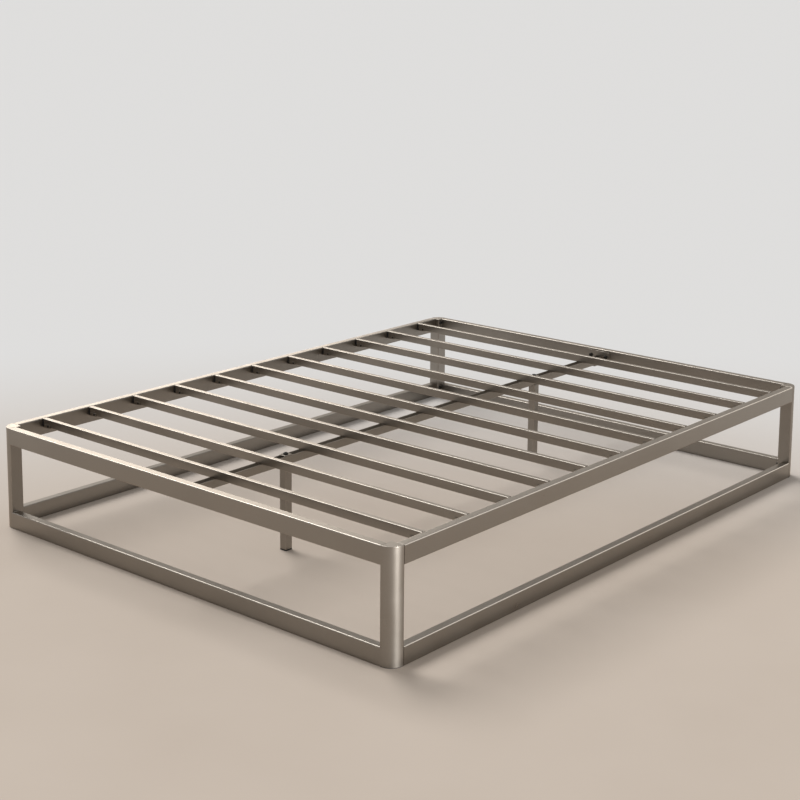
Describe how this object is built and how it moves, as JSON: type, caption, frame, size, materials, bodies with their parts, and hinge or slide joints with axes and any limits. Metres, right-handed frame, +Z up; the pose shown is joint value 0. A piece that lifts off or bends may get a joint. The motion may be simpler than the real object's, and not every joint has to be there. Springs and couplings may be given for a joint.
{
  "type": "bed frame",
  "caption": "Low metal platform bed frame with rounded corner posts, upper and lower perimeter rails, cross slats and a centre rail on support legs.",
  "frame": {"origin": "on the floor at the centre of the bed's footprint", "axes": "+X across the bed to its right side, +Y along the bed to its head end, +Z up"},
  "size_m": [1.524, 2.02, 0.305],
  "materials": {
    "frame_paint": "satin champagne bronze metallic powder coat",
    "bolt_steel": "black oxide",
    "foot_plastic": "matt black moulded"
  },
  "bodies": {
    "root": {"foot_left_post": "frame_paint", "foot_right_post": "frame_paint", "foot_end_rail_low": "frame_paint", "foot_end_rail_top": "frame_paint", "head_left_post": "frame_paint", "head_right_post": "frame_paint", "head_end_rail_low": "frame_paint", "head_end_rail_top": "frame_paint", "left_side_rail_low": "frame_paint", "foot_left_low_bolt_1": "bolt_steel", "foot_left_low_bolt_2": "bolt_steel", "head_left_low_bolt_1": "bolt_steel", "head_left_low_bolt_2": "bolt_steel", "left_side_rail_top": "frame_paint", "foot_left_top_bolt_1": "bolt_steel", "foot_left_top_bolt_2": "bolt_steel", "head_left_top_bolt_1": "bolt_steel", "head_left_top_bolt_2": "bolt_steel", "right_side_rail_low": "frame_paint", "foot_right_low_bolt_1": "bolt_steel", "foot_right_low_bolt_2": "bolt_steel", "head_right_low_bolt_1": "bolt_steel", "head_right_low_bolt_2": "bolt_steel", "right_side_rail_top": "frame_paint", "foot_right_top_bolt_1": "bolt_steel", "foot_right_top_bolt_2": "bolt_steel", "head_right_top_bolt_1": "bolt_steel", "head_right_top_bolt_2": "bolt_steel", "slat_01": "frame_paint", "slat_02": "frame_paint", "slat_03": "frame_paint", "slat_04": "frame_paint", "slat_05": "frame_paint", "slat_06": "frame_paint", "slat_07": "frame_paint", "slat_08": "frame_paint", "slat_09": "frame_paint", "slat_10": "frame_paint", "slat_11": "frame_paint", "centre_rail": "frame_paint", "foot_centre_bracket": "frame_paint", "foot_bracket_bolt_left": "bolt_steel", "foot_bracket_bolt_right": "bolt_steel", "head_centre_bracket": "frame_paint", "head_bracket_bolt_left": "bolt_steel", "head_bracket_bolt_right": "bolt_steel", "foot_support_leg": "frame_paint", "foot_leg_foot_cap": "foot_plastic", "foot_leg_clamp_plate": "frame_paint", "foot_leg_bolt": "bolt_steel", "head_support_leg": "frame_paint", "head_leg_foot_cap": "foot_plastic", "head_leg_clamp_plate": "frame_paint", "head_leg_bolt": "bolt_steel"}
  },
  "joints": []
}
